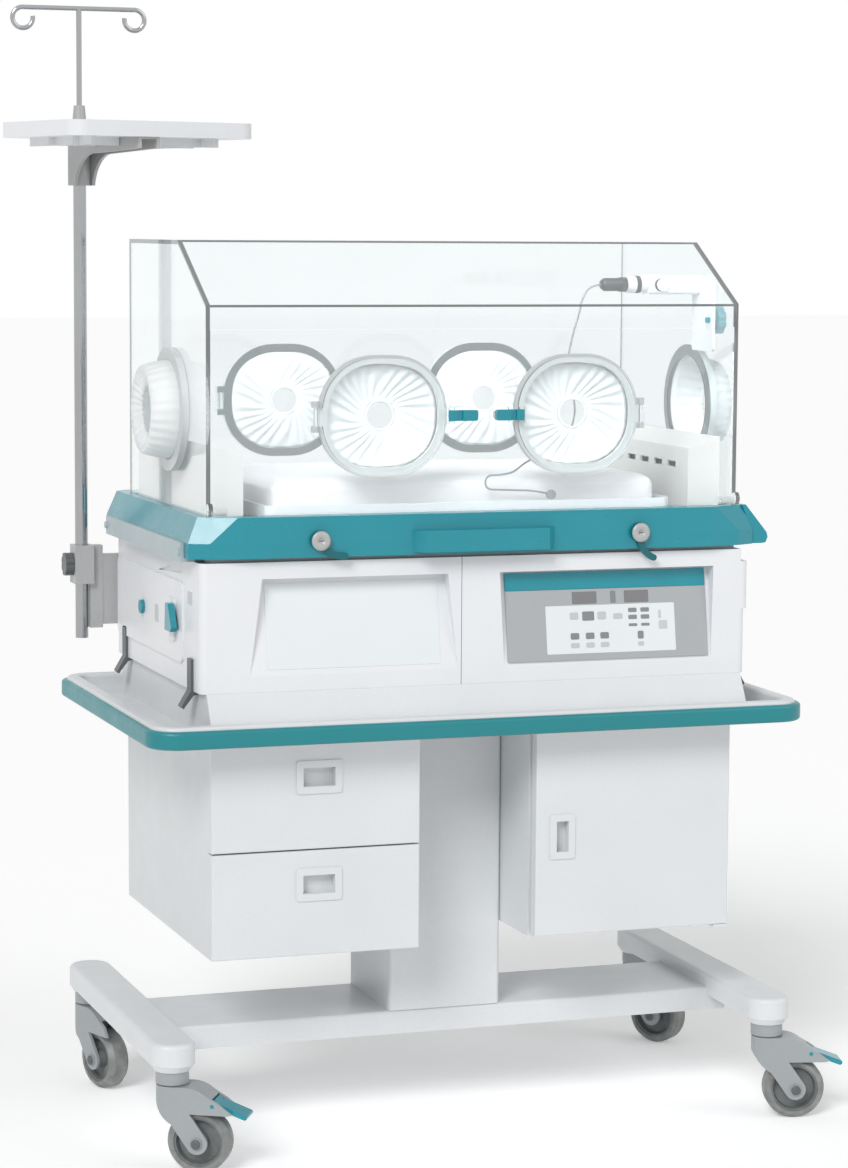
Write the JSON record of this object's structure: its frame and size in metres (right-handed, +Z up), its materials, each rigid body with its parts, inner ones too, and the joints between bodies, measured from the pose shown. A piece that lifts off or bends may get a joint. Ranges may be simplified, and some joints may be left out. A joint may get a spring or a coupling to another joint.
{
  "type": "infant incubator",
  "caption": "Infant incubator: clear hood with hand ports over a heated base, on a wheeled stand with drawers, door cabinet, grip rim, pole, tray and drip hooks.",
  "frame": {"origin": "on the floor below the centre of the overall bounding box, which is the middle of the stand to within 10 mm", "axes": "+X to the right along the front, -Y towards the person at the front, +Z up"},
  "size_m": [1.129, 0.6184, 1.6015],
  "materials": {
    "white_paint": "satin",
    "white_plastic": "satin",
    "cabinet_white": "satin",
    "teal_plastic": "gloss",
    "bumper_teal": "satin",
    "caster_grey": "satin",
    "tyre": "matte",
    "panel_grey": "satin",
    "dark_grey": "satin",
    "acrylic": "clear gloss",
    "cuff": "matte",
    "mattress_cover": "matte",
    "chrome": "polished",
    "clamp_grey": "satin",
    "steel": "brushed",
    "cable_grey": "matte"
  },
  "bodies": {
    "chassis": {"base_frame": "white_paint", "column": "white_paint", "deck": "white_paint", "bumper_strip": "bumper_teal", "plinth": "white_paint", "drawer_cabinet": "cabinet_white", "door_cabinet": "cabinet_white", "base_housing": "white_plastic", "front_covers": "white_plastic", "control_panel": "panel_grey", "side_cover": "white_plastic", "hold_down_clips": "dark_grey", "fan_motor": "dark_grey", "heater": "steel", "water_tank": "steel", "chassis_floor": "clamp_grey", "trim_front": "teal_plastic", "trim_surround": "teal_plastic", "mattress_tray": "white_plastic", "mattress": "mattress_cover", "air_ducts": "white_plastic", "pole_bracket": "clamp_grey"},
    "caster_fl": {"caster_fl_fork": "caster_grey"},
    "wheel_fl": {"caster_fl_wheel": "tyre"},
    "caster_fr": {"caster_fr_fork": "caster_grey"},
    "wheel_fr": {"caster_fr_wheel": "tyre"},
    "caster_rl": {"caster_rl_fork": "caster_grey"},
    "wheel_rl": {"caster_rl_wheel": "tyre"},
    "caster_rr": {"caster_rr_fork": "caster_grey"},
    "wheel_rr": {"caster_rr_wheel": "tyre"},
    "brake_pedal_left": {"brake_pedal_left": "teal_plastic"},
    "brake_pedal_right": {"brake_pedal_right": "teal_plastic"},
    "upper_drawer": {"upper_drawer": "cabinet_white"},
    "lower_drawer": {"lower_drawer": "cabinet_white"},
    "cabinet_door": {"cabinet_door": "cabinet_white"},
    "hood": {"hood_top": "acrylic", "hood_walls": "acrylic", "hood_cuffs": "cuff", "sensor_module": "white_plastic", "probe_cable": "cable_grey", "skin_probe": "cable_grey"},
    "access_door": {"access_door": "acrylic", "door_cuffs": "cuff"},
    "front_port_lid_left": {"front_port_lid_left": "acrylic"},
    "port_catch_left": {"port_catch_left": "teal_plastic"},
    "rear_port_lid_left": {"rear_port_lid_left": "acrylic"},
    "front_port_lid_right": {"front_port_lid_right": "acrylic"},
    "port_catch_right": {"port_catch_right": "teal_plastic"},
    "rear_port_lid_right": {"rear_port_lid_right": "acrylic"},
    "frame_catch_left": {"frame_catch_left": "clamp_grey"},
    "frame_catch_right": {"frame_catch_right": "clamp_grey"},
    "side_lever": {"side_lever": "teal_plastic"},
    "side_button": {"side_button": "teal_plastic"},
    "sensor_knob": {"sensor_knob": "teal_plastic"},
    "clamp_knob": {"clamp_knob": "dark_grey"},
    "pole": {"pole": "chrome"},
    "shelf": {"tray_arm": "clamp_grey", "instrument_tray": "white_plastic"},
    "iv_rod": {"iv_rod": "chrome"},
    "fan": {"fan_impeller": "clamp_grey"}
  },
  "joints": [
    {"name": "caster_swivel_fl", "type": "hinge", "parent": "chassis", "child": "caster_fl", "pos_m": [-0.445, -0.244, 0.13], "axis": [0, 0, 1], "continuous": true},
    {"name": "wheel_spin_fl", "type": "hinge", "parent": "caster_fl", "child": "wheel_fl", "pos_m": [-0.41036, -0.264, 0.044], "axis": [0.5, 0.866, 0], "continuous": true},
    {"name": "caster_swivel_fr", "type": "hinge", "parent": "chassis", "child": "caster_fr", "pos_m": [0.445, -0.244, 0.13], "axis": [0, 0, 1], "continuous": true},
    {"name": "wheel_spin_fr", "type": "hinge", "parent": "caster_fr", "child": "wheel_fr", "pos_m": [0.48364, -0.25435, 0.044], "axis": [0.2588, 0.9659, 0], "continuous": true},
    {"name": "caster_swivel_rl", "type": "hinge", "parent": "chassis", "child": "caster_rl", "pos_m": [-0.445, 0.244, 0.13], "axis": [0, 0, 1], "continuous": true},
    {"name": "wheel_spin_rl", "type": "hinge", "parent": "caster_rl", "child": "wheel_rl", "pos_m": [-0.43178, 0.20625, 0.044], "axis": [0.9438, 0.3305, 0], "continuous": true},
    {"name": "caster_swivel_rr", "type": "hinge", "parent": "chassis", "child": "caster_rr", "pos_m": [0.445, 0.244, 0.13], "axis": [0, 0, 1], "continuous": true},
    {"name": "wheel_spin_rr", "type": "hinge", "parent": "caster_rr", "child": "wheel_rr", "pos_m": [0.46902, 0.21201, 0.044], "axis": [0.7997, 0.6004, 0], "continuous": true},
    {"name": "brake_pedal_left_press", "type": "hinge", "parent": "caster_fl", "child": "brake_pedal_left", "pos_m": [-0.39131, -0.275, 0.097], "axis": [0.5, 0.866, 0], "range_deg": [0, 10]},
    {"name": "brake_pedal_right_press", "type": "hinge", "parent": "caster_fr", "child": "brake_pedal_right", "pos_m": [0.50489, -0.26005, 0.097], "axis": [0.2588, 0.9659, 0], "range_deg": [0, 10]},
    {"name": "upper_drawer_slide", "type": "slide", "parent": "chassis", "child": "upper_drawer", "axis": [0, -1, 0], "range_m": [0, 0.35]},
    {"name": "lower_drawer_slide", "type": "slide", "parent": "chassis", "child": "lower_drawer", "axis": [0, -1, 0], "range_m": [0, 0.35]},
    {"name": "cabinet_door_hinge", "type": "hinge", "parent": "chassis", "child": "cabinet_door", "pos_m": [0.3763, -0.222, 0.434], "axis": [0, 0, 1], "range_deg": [0, 100]},
    {"name": "hood_tilt", "type": "hinge", "parent": "chassis", "child": "hood", "pos_m": [0, 0.216, 0.9], "axis": [-1, 0, 0], "range_deg": [0, 38]},
    {"name": "access_door_hinge", "type": "hinge", "parent": "hood", "child": "access_door", "pos_m": [0, -0.229, 0.9], "axis": [1, 0, 0], "range_deg": [0, 90]},
    {"name": "front_port_lid_left_hinge", "type": "hinge", "parent": "access_door", "child": "front_port_lid_left", "pos_m": [-0.239, -0.2333, 1.027], "axis": [0, 0, -1], "range_deg": [0, 100]},
    {"name": "port_catch_left_press", "type": "hinge", "parent": "front_port_lid_left", "child": "port_catch_left", "pos_m": [-0.046, -0.2403, 1.027], "axis": [0, 0, -1], "range_deg": [0, 30]},
    {"name": "rear_port_lid_left_hinge", "type": "hinge", "parent": "hood", "child": "rear_port_lid_left", "pos_m": [-0.255, 0.2133, 1.027], "axis": [0, 0, 1], "range_deg": [0, 100]},
    {"name": "front_port_lid_right_hinge", "type": "hinge", "parent": "access_door", "child": "front_port_lid_right", "pos_m": [0.239, -0.2333, 1.027], "axis": [0, 0, 1], "range_deg": [0, 100]},
    {"name": "port_catch_right_press", "type": "hinge", "parent": "front_port_lid_right", "child": "port_catch_right", "pos_m": [0.057, -0.2403, 1.027], "axis": [0, 0, 1], "range_deg": [0, 30]},
    {"name": "rear_port_lid_right_hinge", "type": "hinge", "parent": "hood", "child": "rear_port_lid_right", "pos_m": [0.255, 0.2133, 1.027], "axis": [0, 0, -1], "range_deg": [0, 100]},
    {"name": "frame_catch_left_turn", "type": "hinge", "parent": "chassis", "child": "frame_catch_left", "pos_m": [-0.238, -0.251, 0.86], "axis": [0, 1, 0], "range_deg": [0, 90]},
    {"name": "frame_catch_right_turn", "type": "hinge", "parent": "chassis", "child": "frame_catch_right", "pos_m": [0.232, -0.251, 0.86], "axis": [0, 1, 0], "range_deg": [0, 90]},
    {"name": "side_lever_turn", "type": "hinge", "parent": "chassis", "child": "side_lever", "pos_m": [-0.41, -0.112, 0.745], "axis": [1, 0, 0], "range_deg": [0, 90]},
    {"name": "side_button_press", "type": "slide", "parent": "chassis", "child": "side_button", "axis": [1, 0, 0], "range_m": [0, 0.003], "stiffness_N_per_m": 600},
    {"name": "sensor_knob_turn", "type": "hinge", "parent": "hood", "child": "sensor_knob", "pos_m": [0.397, -0.142, 1.154], "axis": [1, 0, 0], "continuous": true},
    {"name": "clamp_knob_turn", "type": "hinge", "parent": "chassis", "child": "clamp_knob", "pos_m": [-0.475, 0.245, 0.785], "axis": [1, 0, 0], "continuous": true},
    {"name": "pole_slide", "type": "slide", "parent": "chassis", "child": "pole", "axis": [0, 0, 1], "range_m": [0, 0.06]},
    {"name": "shelf_swivel", "type": "hinge", "parent": "pole", "child": "shelf", "pos_m": [-0.455, 0.245, 1.36], "axis": [0, 0, 1], "range_deg": [-90, 90]},
    {"name": "iv_rod_slide", "type": "slide", "parent": "shelf", "child": "iv_rod", "axis": [0, 0, 1], "range_m": [0, 0.1]},
    {"name": "fan_spin", "type": "hinge", "parent": "chassis", "child": "fan", "pos_m": [0.15, 0.03, 0.72], "axis": [0, 0, 1], "continuous": true}
  ]
}
